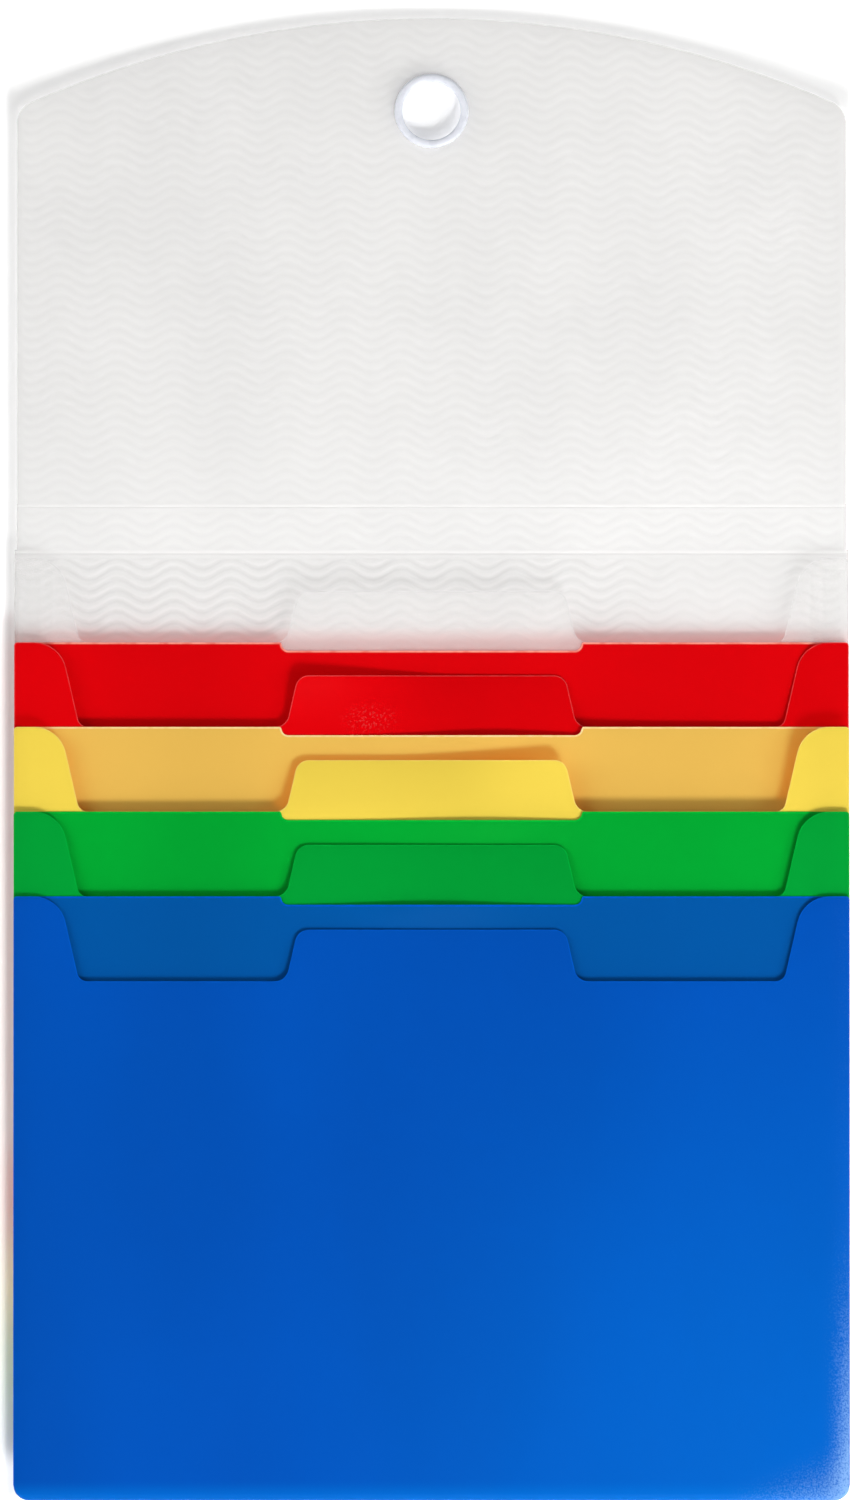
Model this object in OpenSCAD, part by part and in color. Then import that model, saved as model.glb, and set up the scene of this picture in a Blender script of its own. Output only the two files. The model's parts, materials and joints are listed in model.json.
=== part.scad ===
// Wall file folder: a hanging organiser with a scored cover and five stepped pockets.
// Sizes in millimetres. The origin is the eyelet's centre on the cover's back face.
// +Z is up, -Y is towards the viewer and +X is the viewer's right.

/* [Cover] */
// inset of the flap's sides from the pockets' sides
flap_inset = 1; // [0:0.5:10]
// height from the lower score to the top of the arch
hang_h = 231; // [160:1:300]
// height of the spine between the two scores
spine_h = 20; // [8:1:40]
// radius of the arched top edge
arch_r = 432; // [380:1:900]
// radius of the two rounded shoulders
shoulder_r = 10; // [4:1:30]
// thickness of the cover sheet
cover_t = 0.6; // [0.4:0.05:1.2]

/* [Eyelet] */
// drop from the top of the arch to the eyelet's centre
eyelet_drop = 40; // [30:1:80]
// radius of the hanging hole
bore_r = 12.5; // [6:0.5:18]
// radial width of the two rims
rim_w = 3.5; // [3:0.1:8]
// thickness of the front rim
front_rim_t = 2; // [1.2:0.1:4]
// edge radius of the front rim
rim_round = 1; // [0.3:0.1:1.1]
// thickness of the back rim
back_rim_t = 1.4; // [1:0.1:3]
// wall of the barrel that goes through the sheet
barrel_wall = 1.2; // [0.8:0.1:1.5]

/* [Pockets] */
// width of every pocket
pocket_w = 360; // [300:1:420]
// height of every pocket from its fold to its tabs
pocket_h = 260; // [180:1:320]
// how far each pocket hangs below the one behind it
pocket_step = 36.5; // [25:0.5:60]
// drop from the lower score to the first pocket's tabs
tab_drop = 2; // [1:0.5:10]
// clear depth inside a closed pocket
pocket_depth = 5; // [3:0.25:8]
// thickness of the pocket sheets
sheet_t = 0.5; // [0.3:0.05:1]
// radius of the lower corners
corner_r = 6; // [4:0.5:12]
// radius of the upper corners
tip_r = 1.5; // [0.5:0.5:4]

/* [Front tabs] */
// depth of the recess between the tabs
recess_h = 36.5; // [28:0.5:60]
// width of a side tab at its foot
side_foot = 28.3; // [24:0.1:50]
// radius of a side tab's crown
side_crown_r = 14; // [6:0.5:14]
// radius at a side tab's foot
side_fillet_r = 4.5; // [1:0.5:10]
// half width of the label tab at its foot
label_foot = 62.7; // [40:0.1:80]
// height of the label tab
label_h = 22.2; // [14:0.1:26]
// radius of the label tab's crown
label_crown_r = 6; // [2:0.5:10]
// radius at the label tab's foot
label_fillet_r = 6; // [1:0.5:10]
// lean of the tab sides in degrees
tab_lean = 13; // [5:1:20]

/* [Back notch] */
// width of the notch in a back panel's top edge
notch_w = 128; // [90:1:170]
// depth of the notch
notch_d = 3.6; // [2:0.1:8]
// radius at the notch's upper corners
notch_crown_r = 1; // [0.3:0.1:1]
// radius at the notch's foot
notch_fillet_r = 3; // [0.3:0.1:3]
// lean of the notch sides in degrees
notch_lean = 15; // [5:1:30]

/* [Gussets and folds] */
// thickness of the pleated gusset film
film_t = 0.3; // [0.2:0.05:0.5]
// width of the gusset's glued flanges
gusset_flange = 10; // [6:0.5:14]
// depth of the gusset's pleat
gusset_pleat = 16; // [10:0.5:17]
// inset of the gusset's folds from the pocket's side
fold_inset = 1; // [0.5:0.1:3]
// drop from the tabs to the gusset's top
gusset_drop = 5; // [3:0.5:12]
// how far the bottom fold stays behind the front face
fold_recess = 0.3; // [0.25:0.05:0.5]
// height of the gusset's foot above the rounded corner
gusset_lift = 1; // [0.5:0.5:5]
// clearance between the two sides of a hinge line
hinge_gap = 0.2; // [0.1:0.05:0.4]

/* [Hidden] */
$fn = 96;

hue = [[0.92, 0.91, 0.90], [0.87, 0.02, 0.05], [0.95, 0.82, 0.30],
       [0.00, 0.63, 0.21], [0.01, 0.34, 0.73]];
eyelet_white = [0.93, 0.94, 0.96];

// hinge beads are a little thinner than their sheets
bead_inset = 0.05;
bead_end = 1;
// arcs run this far into the lines they touch, so that the two always cross
arc_bite = 0.005;
// cutters and joined shapes run this far past the faces that they meet
cut_over = 1;
cover_bead = cover_t / 2 - bead_inset;
sheet_bead = sheet_t / 2 - bead_inset;

// eyelet
rim_r = bore_r + rim_w;
barrel_r = bore_r + barrel_wall;
barrel_play = 0.1;
lip_w = 0.35;
lip_h = 0.45;
// how far the barrel runs into the front rim
barrel_root = 0.2;

// cover levels and width
flap_w = pocket_w - 2 * flap_inset;
low_score_z = eyelet_drop - hang_h;
high_score_z = low_score_z + spine_h;
cover_split = cover_bead + hinge_gap;

// pocket levels, with pocket 0 at the wall and pocket 4 nearest the viewer
function top_z(k) = low_score_z - tab_drop - k * pocket_step;
function low_z(k) = top_z(k) - pocket_h;
function floor_z(k) = top_z(k) - recess_h;

// pocket layers: pocket 0 has the cover for its back
function front_y(k) =
    -cover_t - pocket_depth - sheet_t - k * (pocket_depth + 2 * sheet_t);
function rear_y(k) = k == 0 ? 0 : front_y(k - 1);
function inner_y(k) = rear_y(k) - (k == 0 ? cover_t : sheet_t);
function fold_r(k) = (rear_y(k) - front_y(k) - fold_recess) / 2;
function fold_z(k) = low_z(k) + fold_r(k);
function hinge_z(k) = fold_z(k) + sheet_bead + hinge_gap;

// half width of a rounded pocket outline at a height above its lowest point
function low_half_w(h) =
    pocket_w / 2 - corner_r + sqrt(corner_r * corner_r - pow(max(corner_r - h, 0), 2));

// a sheet standing in the X Z plane, with its rear face at the given y
module slab(rear, t) {
    translate([0, rear, 0])
        rotate([90, 0, 0])
            linear_extrude(t) children();
}

module both_sides() {
    children();
    mirror([1, 0]) children();
}

// what lies between a round corner and its sharp point, from the two sides' unit normals
module round_corner(centre, r, a, b) {
    reach = r + cut_over;
    difference() {
        translate(centre)
            polygon([[0, 0], reach * a, reach * (a + b) / (1 + a * b), reach * b]);
        translate(centre) circle(r + arc_bite);
    }
}

// half of a tab, from its middle line to its leaning side, with a crown arc and a foot fillet
module half_tab(foot, height, lean, crown_r, fillet_r) {
    side = [cos(lean), sin(lean)];
    crown = [foot - (height - crown_r) * tan(lean) - crown_r / cos(lean), height - crown_r];
    fillet = [foot - fillet_r * tan(lean) + fillet_r / cos(lean), fillet_r];
    difference() {
        polygon([
            [-cut_over, -cut_over], [foot + cut_over * tan(lean), -cut_over],
            [foot - height * tan(lean), height], [-cut_over, height]
        ]);
        round_corner(crown, crown_r, side, [0, 1]);
    }
    round_corner(fillet, fillet_r, -side, [0, -1]);
}

// an upright sheet outline with round lower and upper corners
module round_sheet(width, low, high, low_r, high_r) {
    half = width / 2;
    difference() {
        translate([-half, low]) square([width, high - low]);
        both_sides() {
            round_corner([half - low_r, low + low_r], low_r, [1, 0], [0, -1]);
            round_corner([half - high_r, high - high_r], high_r, [1, 0], [0, 1]);
        }
    }
}

module pocket_outline(k) {
    round_sheet(pocket_w, low_z(k), top_z(k), corner_r, tip_r);
}

module front_outline(k) {
    intersection() {
        pocket_outline(k);
        union() {
            translate([-pocket_w / 2 - cut_over, hinge_z(k)])
                square([pocket_w + 2 * cut_over, floor_z(k) - hinge_z(k)]);
            both_sides() {
                translate([-pocket_w / 2, floor_z(k)])
                    half_tab(side_foot, recess_h, tab_lean, side_crown_r, side_fillet_r);
                translate([0, floor_z(k)])
                    half_tab(label_foot, label_h, tab_lean, label_crown_r, label_fillet_r);
            }
        }
    }
}

module back_outline(k) {
    wing_w = (pocket_w - notch_w) / 2;
    ledge_z = top_z(k) - notch_d;
    intersection() {
        pocket_outline(k);
        union() {
            translate([-pocket_w / 2 - cut_over, fold_z(k)])
                square([pocket_w + 2 * cut_over, ledge_z - fold_z(k)]);
            both_sides()
                translate([-pocket_w / 2, ledge_z])
                    half_tab(wing_w, notch_d, notch_lean, notch_crown_r, notch_fillet_r);
        }
    }
}

// a round edge along X on a hinge line
module bead(y, z, r, length) {
    translate([-length / 2, y, z])
        rotate([0, 90, 0])
            cylinder(r = r, h = length);
}

module flap_outline() {
    half = flap_w / 2;
    reach = arch_r - shoulder_r;
    arch = [0, eyelet_drop - arch_r];
    shoulder = arch + [half - shoulder_r, sqrt(pow(reach, 2) - pow(half - shoulder_r, 2))];
    difference() {
        intersection() {
            translate(arch) circle(arch_r);
            translate([-half, high_score_z]) square([flap_w, hang_h]);
        }
        both_sides() round_corner(shoulder, shoulder_r, [1, 0], (shoulder - arch) / reach);
    }
}

module cover_flap() {
    color(hue[0]) {
        slab(0, cover_t) difference() {
            flap_outline();
            circle(barrel_r + barrel_play);
        }
        bead(-cover_t / 2, high_score_z, cover_bead, flap_w);
    }
}

module cover_spine() {
    color(hue[0]) {
        slab(0, cover_t)
            translate([-flap_w / 2, low_score_z])
                square([flap_w, spine_h - cover_split]);
        bead(-cover_t / 2, low_score_z, cover_bead, flap_w);
    }
}

module cover_back() {
    color(hue[0])
        slab(0, cover_t) intersection() {
            round_sheet(pocket_w, low_z(0), low_score_z, corner_r, tip_r);
            translate([-pocket_w / 2 - cut_over, fold_z(0)])
                square([pocket_w + 2 * cut_over, low_score_z - cover_split - fold_z(0)]);
        }
}

// eyelet half with the round rim and the barrel, drawn as radius and height to the front
module grommet_front() {
    rim_top = cover_t + front_rim_t;
    color(eyelet_white)
        rotate([90, 0, 0]) rotate_extrude() {
            translate([bore_r, cover_t]) square([rim_w, front_rim_t - rim_round]);
            translate([bore_r + rim_round, cover_t])
                square([rim_w - 2 * rim_round, front_rim_t]);
            translate([bore_r + rim_round, rim_top - rim_round]) circle(rim_round);
            translate([rim_r - rim_round, rim_top - rim_round]) circle(rim_round);
            translate([bore_r, -back_rim_t]) square([barrel_wall, cover_t + back_rim_t + barrel_root]);
            translate([bore_r, -back_rim_t]) square([barrel_wall + lip_w, lip_h]);
        }
}

// flat ring behind the sheet, stepped for the barrel's lip
module grommet_back() {
    color(eyelet_white)
        rotate([90, 0, 0]) rotate_extrude()
            difference() {
                translate([barrel_r + barrel_play, -back_rim_t])
                    square([rim_r - barrel_r - barrel_play, back_rim_t]);
                translate([barrel_r, -back_rim_t - cut_over])
                    square([lip_w + barrel_play, lip_h + cut_over]);
            }
}

module front_panel(k) {
    color(hue[k]) {
        slab(front_y(k) + sheet_t, sheet_t) front_outline(k);
        bead(front_y(k) + sheet_t / 2, hinge_z(k), sheet_bead,
             2 * (low_half_w(hinge_z(k) - low_z(k)) - bead_end));
    }
}

module back_panel(k) {
    color(hue[k]) slab(rear_y(k), sheet_t) back_outline(k);
}

// the rounded bottom of a pocket: half a tube, open to the top
module bottom_fold(k) {
    color(hue[k]) intersection() {
        translate([-pocket_w / 2 - cut_over, rear_y(k) - fold_r(k), fold_z(k)])
            rotate([0, 90, 0]) linear_extrude(pocket_w + 2 * cut_over)
                difference() {
                    circle(fold_r(k));
                    circle(fold_r(k) - sheet_t);
                    translate([-2 * fold_r(k), -2 * fold_r(k)])
                        square([2 * fold_r(k), 4 * fold_r(k)]);
                }
        slab(rear_y(k) + cut_over, rear_y(k) - front_y(k) + 2 * cut_over) pocket_outline(k);
    }
}

// one straight leg of a pleat between two points of its middle line
module leg(from, to, start_over, end_over) {
    run = to - from;
    translate(from)
        rotate(atan2(run.y, run.x))
            translate([-start_over, -film_t / 2])
                square([norm(run) + start_over + end_over, film_t]);
}

// a pleat with a glued flange at each panel and its fold pointing inwards
module gusset(k, turn) {
    over = film_t / 2;
    fold_x = pocket_w / 2 - fold_inset;
    rear_leg = inner_y(k) - film_t / 2;
    front_leg = front_y(k) + sheet_t + bead_inset + film_t / 2;
    middle = (rear_leg + front_leg) / 2;
    base_z = low_z(k) + corner_r + gusset_lift;
    color(hue[k])
        translate([0, 0, base_z])
            mirror([turn < 0 ? 1 : 0, 0, 0])
                linear_extrude(top_z(k) - gusset_drop - base_z) {
                    leg([fold_x - gusset_flange, rear_leg], [fold_x, rear_leg], 0, over);
                    leg([fold_x, rear_leg], [fold_x - gusset_pleat, middle], 0, over);
                    leg([fold_x - gusset_pleat, middle], [fold_x, front_leg], over, 0);
                    leg([fold_x, front_leg], [fold_x - gusset_flange, front_leg], over, 0);
                }
}

cover_flap();
cover_spine();
cover_back();
grommet_front();
grommet_back();
front_panel(0);  // clear_front_panel
bottom_fold(0);  // clear_bottom_fold
gusset(0, -1);  // clear_gusset_left
gusset(0, 1);  // clear_gusset_right
back_panel(1);  // red_back_panel
front_panel(1);  // red_front_panel
bottom_fold(1);  // red_bottom_fold
gusset(1, -1);  // red_gusset_left
gusset(1, 1);  // red_gusset_right
back_panel(2);  // yellow_back_panel
front_panel(2);  // yellow_front_panel
bottom_fold(2);  // yellow_bottom_fold
gusset(2, -1);  // yellow_gusset_left
gusset(2, 1);  // yellow_gusset_right
back_panel(3);  // green_back_panel
front_panel(3);  // green_front_panel
bottom_fold(3);  // green_bottom_fold
gusset(3, -1);  // green_gusset_left
gusset(3, 1);  // green_gusset_right
back_panel(4);  // blue_back_panel
front_panel(4);  // blue_front_panel
bottom_fold(4);  // blue_bottom_fold
gusset(4, -1);  // blue_gusset_left
gusset(4, 1);  // blue_gusset_right
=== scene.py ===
"""Wall file folder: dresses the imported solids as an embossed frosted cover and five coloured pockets."""

import json
import math

import bpy
import numpy as np
from bpy.props import FloatProperty, FloatVectorProperty, PointerProperty
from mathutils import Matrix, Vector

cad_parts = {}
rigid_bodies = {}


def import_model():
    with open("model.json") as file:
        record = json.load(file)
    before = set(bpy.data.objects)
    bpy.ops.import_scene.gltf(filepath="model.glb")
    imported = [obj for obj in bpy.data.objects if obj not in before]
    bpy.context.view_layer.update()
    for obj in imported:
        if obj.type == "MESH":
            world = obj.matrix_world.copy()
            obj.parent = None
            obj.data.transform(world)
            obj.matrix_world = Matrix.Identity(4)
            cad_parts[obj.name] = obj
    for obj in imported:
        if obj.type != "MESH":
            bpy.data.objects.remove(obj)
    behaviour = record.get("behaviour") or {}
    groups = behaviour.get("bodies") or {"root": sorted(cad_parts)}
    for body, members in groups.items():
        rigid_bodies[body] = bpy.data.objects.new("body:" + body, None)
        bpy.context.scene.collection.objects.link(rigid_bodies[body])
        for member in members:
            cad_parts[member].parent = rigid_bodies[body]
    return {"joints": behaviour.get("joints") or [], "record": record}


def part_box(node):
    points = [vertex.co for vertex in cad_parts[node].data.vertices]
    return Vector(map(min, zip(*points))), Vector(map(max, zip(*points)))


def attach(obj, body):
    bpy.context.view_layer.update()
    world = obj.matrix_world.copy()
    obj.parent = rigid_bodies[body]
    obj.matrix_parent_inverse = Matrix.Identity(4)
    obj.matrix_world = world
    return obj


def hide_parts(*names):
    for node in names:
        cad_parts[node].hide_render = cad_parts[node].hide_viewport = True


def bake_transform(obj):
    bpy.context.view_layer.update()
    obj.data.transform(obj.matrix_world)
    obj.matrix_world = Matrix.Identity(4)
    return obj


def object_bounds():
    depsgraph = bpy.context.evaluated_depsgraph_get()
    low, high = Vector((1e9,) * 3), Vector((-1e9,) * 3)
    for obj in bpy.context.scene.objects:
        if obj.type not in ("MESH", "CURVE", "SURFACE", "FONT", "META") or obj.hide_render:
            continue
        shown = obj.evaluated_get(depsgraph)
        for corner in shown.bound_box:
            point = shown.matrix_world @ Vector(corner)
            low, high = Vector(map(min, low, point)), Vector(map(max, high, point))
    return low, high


bl_info = {
    "name": "Wall File Folder",
    "version": (1, 0, 0),
    "blender": (4, 5, 0),
    "location": "3D View > Sidebar > Folder",
    "description": "Makes the sheets, rolled pockets, pleats and eyelet of a hanging wall file folder",
    "category": "Object",
}

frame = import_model()
CAD_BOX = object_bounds()
JOINTS = {joint["name"]: joint for joint in frame["joints"]}

MM = 0.001
HUES = ("clear", "red", "yellow", "green", "blue")
WHITE = (1.0, 1.0, 1.0)
# The picture's size and scale, how far before the cover's back that scale holds, and the eyelet's pixel
IMAGE_PX = (852, 1500)
PX_PER_M = 2317.5
SCALE_DEPTH = 6 * MM
EYELET_PX = (431.5, 110.5)
# Points in a corner's arc, and the distance under which two points of a mesh become one
ARC_STEPS = 9
MERGE = 1e-7
# Rows of an embossed sheet's grid to one wave, and the height of the level rows below its top edge
WAVE_ROWS = 5
LEVEL_ROW = 0.25 * MM
# Values that a sheet holds at its points: 1 on its outline, and how deep a point lies in a wave's groove
RIM = "rim"
GROOVE = "groove"
# Painted highlight on a cut edge: how much lighter than its sheet the edge is drawn, where its colour isn't
# given
CUT_HIGHLIGHT = 1.3
# Features to the metre, about, in the noise of each finish
SCALES = {"mottle": 6.0, "drift": 9.0, "cloud": 14.0, "rub": 45.0, "lines": 90.0, "flow": 220.0,
          "breaks": 260.0, "plaster": 400.0, "moulding": 900.0, "specks": 1000.0, "peel": 1300.0,
          "frost": 1500.0}


def linear(red, green, blue):
    """Screen values from 0 to 255 as the linear colour that is shown by them."""
    screen = np.array((red, green, blue)) / 255
    low = screen / 12.92
    high = ((screen + 0.055) / 1.055) ** 2.4
    return tuple(np.where(screen <= 0.04045, low, high).tolist())


def length(name, description, millimetres):
    """A length that is written in millimetres and kept in metres."""
    return FloatProperty(name=name, description=description, default=millimetres * MM, unit="LENGTH",
                         precision=5)


def degrees(name, description, value):
    return FloatProperty(name=name, description=description, default=math.radians(value), subtype="ANGLE")


def share(name, description, value):
    return FloatProperty(name=name, description=description, default=value, min=0, max=1, subtype="FACTOR")


def watts(name, description, value):
    return FloatProperty(name=name, description=description, default=value, unit="POWER")


def colour(name, description, *screen):
    return FloatVectorProperty(name=name, description=description, default=linear(*screen), size=3,
                               min=0, max=1, subtype="COLOR")


class CoverSizes(bpy.types.PropertyGroup):
    """Sizes of the cover sheet, its emboss and its two scores."""

    sheet: length("Sheet", "Thickness of the cover sheet", 0.6)
    arch_r: length("Arch", "Radius of the arched top edge", 432)
    shoulder_r: length("Shoulder", "Radius of the two rounded shoulders", 10)
    hole_r: length("Hole", "Radius of the hole under the eyelet's rim", 14.4)
    pitch: length("Wave pitch", "Height from one embossed wave to the next", 4.7)
    wave_l: length("Wave length", "Width of one embossed wave", 24.5)
    wave_h: length("Wave swing", "How far a wave swings up and down", 2.5)
    wave_x: length("Wave start", "Where a wave crosses its middle line", 5.2)
    relief: length("Relief", "How far the emboss stands out", 0.13)
    border: length("Border", "Plain border inside the sheet's edge", 2)
    score_d: length("Score", "Depth of a score's groove", 0.2)
    score_w: length("Score width", "Half width of a score's groove", 0.4)
    seam: length("Seam", "Height of a sheet's end above the score", 1.5)


class PocketSizes(bpy.types.PropertyGroup):
    """Sizes of the pockets' sheets, tabs and pleats."""

    sheet: length("Sheet", "Thickness of the pocket sheets", 0.5)
    film: length("Film", "Thickness of the pleated film", 0.3)
    rim_w: length("Rim", "Width of the cut edge that shows lighter", 0.45)
    rim_set: length("Rim set-back", "How far the cut edge is rounded back", 0.05)
    corner_r: length("Corner", "Radius of the lower corners", 7)
    tip_r: length("Tip", "Radius of the upper corners", 1.5)
    recess_h: length("Recess", "Depth of the recess between the tabs", 36.5)
    side_foot: length("Side tab", "Width of a side tab at its foot", 28.3)
    side_crown: length("Side crown", "Radius of a side tab's crown", 14)
    side_fillet: length("Side fillet", "Radius at a side tab's foot", 4.5)
    label_foot: length("Label tab", "Half width of the label tab at its foot", 62.7)
    label_h: length("Label height", "Height of the label tab", 22.2)
    label_crown: length("Label crown", "Radius of the label tab's crown", 6)
    label_fillet: length("Label fillet", "Radius at the label tab's foot", 6)
    tab_lean: degrees("Tab lean", "Lean of the tabs' sides", 13)
    notch_w: length("Notch", "Width of the notch in a back sheet", 128)
    notch_d: length("Notch depth", "Depth of the notch in a back sheet", 3.6)
    notch_crown: length("Notch crown", "Radius at the notch's upper corners", 1)
    notch_fillet: length("Notch fillet", "Radius at the notch's foot", 3)
    notch_lean: degrees("Notch lean", "Lean of the notch's sides", 15)
    roll_w: length("Side roll", "Width of the band that rolls back at the sides", 9)
    roll_d: length("Roll depth", "How far the sides roll back", 0.9)
    bend_h: length("Bend", "Height over which a sheet bends above its fold", 4)


class FolderColours(bpy.types.PropertyGroup):
    """Colours of the sheets, the eyelet and the room."""

    clear: colour("Clear", "Frosted clear cover", 219, 218, 217)
    front: colour("Clear front", "Frosted clear front sheet", 243, 242, 241)
    film: colour("Clear film", "Pleats of the clear pocket", 250, 250, 249)
    red: colour("Red", "Red sheets", 225, 0, 8)
    yellow: colour("Yellow", "Yellow sheets", 244, 214, 80)
    green: colour("Green", "Green front sheet and pleats", 0, 158, 53)
    green_back: colour("Green back", "Green back sheet", 0, 167, 49)
    blue: colour("Blue", "Blue sheets", 0, 81, 184)
    over_red: colour("Yellow over red", "Yellow sheet where the red one shows through", 238, 190, 88)
    # Partly painted shade: the blue back sheet is drawn darker for the shade in its recess, and tinted by
    # the green behind it
    over_green_shaded: colour("Blue over green", "Blue sheet where the green one shows through", 0, 85, 164)
    red_light: colour("Red light", "Lamp light after it has passed a face of the red sheet", 160, 0, 0)
    rear_light: colour("Rear red light", "Lamp light after it has passed a face of the red back sheet",
                       198, 40, 30)
    yellow_light: colour("Yellow light", "Lamp light after it has passed a face of the yellow sheet",
                         218, 172, 0)
    # Painted highlights: the cut edges of the red and yellow back sheets are drawn lighter
    red_edge_highlight: colour("Red edge", "Cut edge of the red back sheet", 255, 158, 140)
    yellow_edge_highlight: colour("Yellow edge", "Cut edge of the yellow back sheet", 255, 222, 160)
    # Painted light: the pink drawn on the clear sheets beside the red one, for the red light it throws on
    # them
    painted_red_light: colour("Red glow", "Clear sheet beside the red one", 224, 172, 168)
    # Painted light on the foremost blue sheet: a pale painted sheen where it bends away, and a lighter blue
    # as a painted pool of light towards its lower right
    painted_sheen: colour("Rubbed blue", "Blue sheet where its bent corner has gone pale", 146, 190, 242)
    painted_lit_blue: colour("Light blue", "Blue sheet towards its lower right corner", 0, 112, 212)
    eyelet: colour("Eyelet", "Moulded white eyelet", 241, 244, 254)
    wall: colour("Wall", "Painted wall", 254, 254, 254)
    floor: colour("Floor", "Pale floor", 232, 231, 229)


class StageLight(bpy.types.PropertyGroup):
    """The camera's distance and the strength of the lamps."""

    distance: length("Camera", "Distance from the cover's back to the camera", 8000)
    key: watts("Key", "Power of the lamp at the lower right", 41)
    left: watts("Left", "Power of the wide lamp at the left", 34)
    right: watts("Right", "Power of the small lamp at the right", 6)
    rear: watts("Rear", "Power of the lamp behind the folder", 60)
    lift: share("Wall lift", "White that the wall adds behind the folder", 0.13)
    floor_lift: share("Floor lift", "White that the floor adds where it is looked at", 0.5)
    room: share("Room", "Strength of the light that comes from all sides", 0.19)


class Pocket:
    """Where one pocket lies, read from its solids, and the bodies that its sheets move with."""

    def __init__(self, number):
        self.number = number
        self.hue = HUES[number]
        panel_low, panel_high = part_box(f"{self.hue}_front_panel")
        fold_low, fold_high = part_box(f"{self.hue}_bottom_fold")
        joint = JOINTS[f"{self.hue}_pocket_open"]
        self.half, self.top, self.front = panel_high.x, panel_high.z, panel_low.y
        self.low, self.rear = fold_low.z, fold_high.y
        self.hinge = joint["pos_m"][2]
        self.behind, self.ahead = joint["parent"], joint["child"]


POCKETS = [Pocket(number) for number in range(len(HUES))]

# How far each pair of joined sheets leans to the wall at its top, in millimetres, from back to front, and
# how much more at its right side, or less at its left side, as a share
LEANS = ((0.0, 0.0), (2.2, 0.7), (0.0, 0.0), (3.0, 0.0), (6.0, 0.0))
# How far each label tab's left and right top corners stand back, or forward where negative, and the two
# places across its width, from 0 to 1, between which the bend goes over from one to the other
TAB_BENDS = ((-1.2, -0.8, 0.0, 1.0), (-3.9, 2.2, 0.0, 0.6), (3.2, -3.4, 0.35, 1.0), (1.4, 1.7, 0.0, 1.0),
             (0.6, 0.8, 0.0, 1.0))
# How far the inner edge of each right side tab stands back at its top
SIDE_BENDS = (1.2, 2.2, -2.0, -0.4, 0.0)
# Where along its width each back sheet's notch bows forward, and how far
NOTCH_BOWS = ((0.0, 0.0), (10.0, 0.5), (28.0, 3.6), (20.0, 1.8), (0.0, 2.6))
# How much more the foremost sheet's right side rolls back, as a share, and the two depths below its top
# between which that grows
MORE_ROLL = 1.6
MORE_ROLL_FROM, MORE_ROLL_TO = 60 * MM, 200 * MM


def step(value, low, high):
    """Rises smoothly from 0 at low to 1 at high."""
    t = np.clip((value - low) / (high - low), 0, 1)
    return t * t * (3 - 2 * t)


def arc(centre, radius, start, stop, count=ARC_STEPS):
    """Points of a circle about centre between two angles in radians."""
    turn = np.linspace(start, stop, count)
    return np.stack((centre[0] + radius * np.cos(turn), centre[1] + radius * np.sin(turn)), 1)


def tab_side(foot, height, lean, crown_r, fillet_r):
    """Right side of a tab, from its top outwards to its floor: a crown arc that touches the top and the
    leaning side, then a fillet arc that touches the side and the floor."""
    crown = (foot - (height - crown_r) * math.tan(lean) - crown_r / math.cos(lean), height - crown_r)
    fillet = (foot - fillet_r * math.tan(lean) + fillet_r / math.cos(lean), fillet_r)
    return np.concatenate((arc(crown, crown_r, math.pi / 2, lean),
                           arc(fillet, fillet_r, math.pi + lean, 1.5 * math.pi)))


def both_halves(right):
    """A path from left to right whose left half mirrors the right one."""
    return np.concatenate((right[:0:-1] * (-1, 1), right))


def from_side(path, half, level):
    """A tab's side drawn from the sheet's right edge inwards, turned to run outwards at a level."""
    return path[::-1] * (-1, 1) + (half, level)


def tip(pocket, sizes):
    centre = (pocket.half - sizes.tip_r, pocket.top - sizes.tip_r)
    return arc(centre, sizes.tip_r, math.pi / 2, 0)


def front_edge(pocket, sizes):
    """Top edge of a front sheet: the label tab, the recess floor and the side tab, mirrored."""
    floor = pocket.top - sizes.recess_h
    label = tab_side(sizes.label_foot, sizes.label_h, sizes.tab_lean, sizes.label_crown, sizes.label_fillet)
    side = tab_side(sizes.side_foot, sizes.recess_h, sizes.tab_lean, sizes.side_crown, sizes.side_fillet)
    middle = [(0, floor + sizes.label_h)]
    side = from_side(side, pocket.half, floor)
    return both_halves(np.concatenate((middle, label + (0, floor), side, tip(pocket, sizes))))


def back_edge(pocket, sizes):
    """Top edge of a back sheet: the notch's ledge, its leaning side and the wing, mirrored."""
    ledge = pocket.top - sizes.notch_d
    side = tab_side(pocket.half - sizes.notch_w / 2, sizes.notch_d, sizes.notch_lean, sizes.notch_crown,
                    sizes.notch_fillet)
    side = from_side(side, pocket.half, ledge)
    return both_halves(np.concatenate(([(0, ledge)], side, tip(pocket, sizes))))


def arch_edge(half, top, sizes):
    """Top edge of the flap: a wide arc that runs on into a shoulder arc at each side."""
    middle = np.array((0, top - sizes.arch_r))
    reach = sizes.arch_r - sizes.shoulder_r
    across = half - sizes.shoulder_r
    shoulder = middle + (across, math.sqrt(reach ** 2 - across ** 2))
    meet = math.atan2(shoulder[1] - middle[1], across)
    crown = arc(middle, sizes.arch_r, math.pi / 2, meet, 20)
    return both_halves(np.concatenate((crown, arc(shoulder, sizes.shoulder_r, meet, 0)[1:])))


def level_edge(half, level):
    """A straight top edge, with short upright ends so that its rim has a square corner."""
    end = 0.3 * MM
    return np.array(((-half, level - end), (-half + end, level), (half - end, level), (half, level - end)))


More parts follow.
